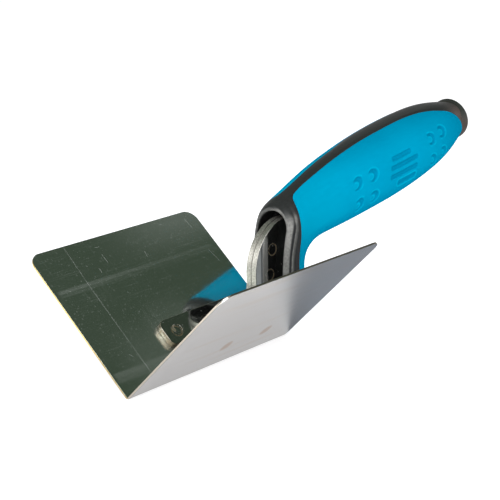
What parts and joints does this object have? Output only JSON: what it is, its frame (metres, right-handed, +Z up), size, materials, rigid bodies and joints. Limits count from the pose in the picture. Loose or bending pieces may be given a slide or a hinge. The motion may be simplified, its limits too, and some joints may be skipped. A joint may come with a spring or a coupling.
{
  "type": "internal corner trowel",
  "caption": "Internal corner trowel: a folded stainless V blade on a welded plate tang, with a cranked two-material soft grip handle and an end cap.",
  "frame": {"origin": "middle of the overall length on the centre plane, level with the bottom of the fold", "axes": "+X along the fold from the front of the blade to the end cap, +Y to the left wing, +Z up from the fold into the open side of the V"},
  "size_m": [0.2466, 0.1108, 0.0895],
  "materials": {
    "blade_steel": "polished stainless sheet with fine scratches",
    "tang_steel": "polished faces, rough sheared edges",
    "pin_steel": "plain ground pins",
    "core_plastic": "rigid moulded core, fine grain",
    "charcoal_rubber": "satin moulded rubber",
    "blue_soft_grip": "matt soft-touch elastomer",
    "cap_plastic": "matt moulded end cap"
  },
  "bodies": {
    "root": {"blade": "blade_steel", "tang_plate_left": "tang_steel", "tang_plate_right": "tang_steel", "tang_pins": "pin_steel", "handle_core": "core_plastic", "charcoal_overmould": "charcoal_rubber", "blue_grip": "blue_soft_grip", "end_cap": "cap_plastic"}
  },
  "joints": []
}
